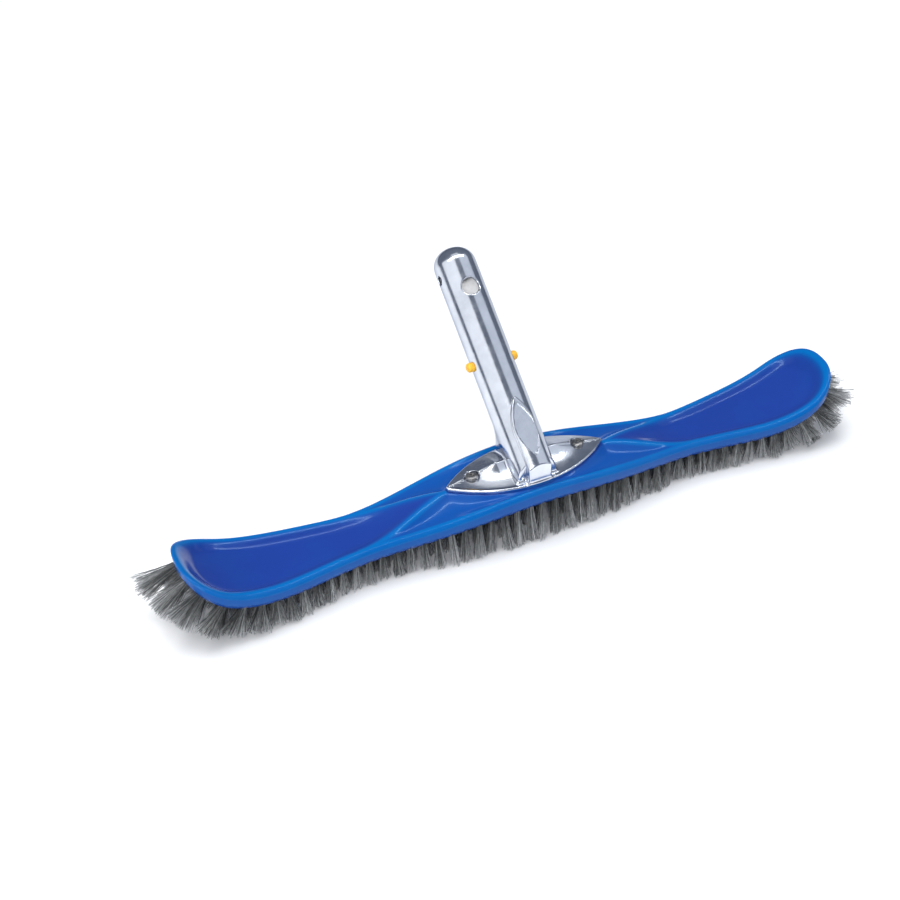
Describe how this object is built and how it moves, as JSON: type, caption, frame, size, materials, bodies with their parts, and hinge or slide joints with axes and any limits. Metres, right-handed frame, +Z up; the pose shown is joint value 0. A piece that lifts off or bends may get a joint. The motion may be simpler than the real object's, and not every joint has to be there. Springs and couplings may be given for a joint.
{
  "type": "pool wall brush",
  "caption": "Curved plastic pool wall brush with fanned ends, stainless wire tufts and a leaning cast aluminium pole spigot with sprung lock buttons.",
  "frame": {"origin": "centre of the scrubbing face, at the tips of the middle tufts, under the middle of the flange", "axes": "+X along the brush, +Y the way the pole spigot leans, +Z up, away from the surface being scrubbed"},
  "size_m": [0.5048, 0.145, 0.1469],
  "materials": {
    "blue_plastic": "glossy moulded polypropylene",
    "cast_aluminium": "polished die casting",
    "wire": "crimped stainless wire",
    "staple_wire": "plain drawn wire",
    "screw_steel": "plain stainless steel",
    "spring_steel": "cold-rolled spring strip",
    "yellow_plastic": "moulded nylon"
  },
  "bodies": {
    "brush": {"brush_back": "blue_plastic", "tufts_row_1": "wire", "tufts_row_2": "wire", "tufts_row_3": "wire", "tufts_row_4": "wire", "tufts_row_5": "wire", "tufts_left_fan": "wire", "tufts_right_fan": "wire", "staples_row_1": "staple_wire", "staples_row_2": "staple_wire", "staples_row_3": "staple_wire", "staples_row_4": "staple_wire", "staples_row_5": "staple_wire", "staples_left_fan": "staple_wire", "staples_right_fan": "staple_wire", "handle_casting": "cast_aluminium", "screw_left": "screw_steel", "screw_right": "screw_steel", "v_spring": "spring_steel"},
    "left_button": {"lock_button_left": "yellow_plastic"},
    "right_button": {"lock_button_right": "yellow_plastic"}
  },
  "joints": [
    {"name": "left_button_press", "type": "slide", "parent": "brush", "child": "left_button", "axis": [1, 0, 0], "range_m": [0, 0.0045], "stiffness_N_per_m": 900, "springref_m": -0.003, "deforming": ["v_spring"]},
    {"name": "right_button_press", "type": "slide", "parent": "brush", "child": "right_button", "axis": [-1, 0, 0], "range_m": [0, 0.0045], "stiffness_N_per_m": 900, "springref_m": -0.003, "deforming": ["v_spring"]}
  ]
}
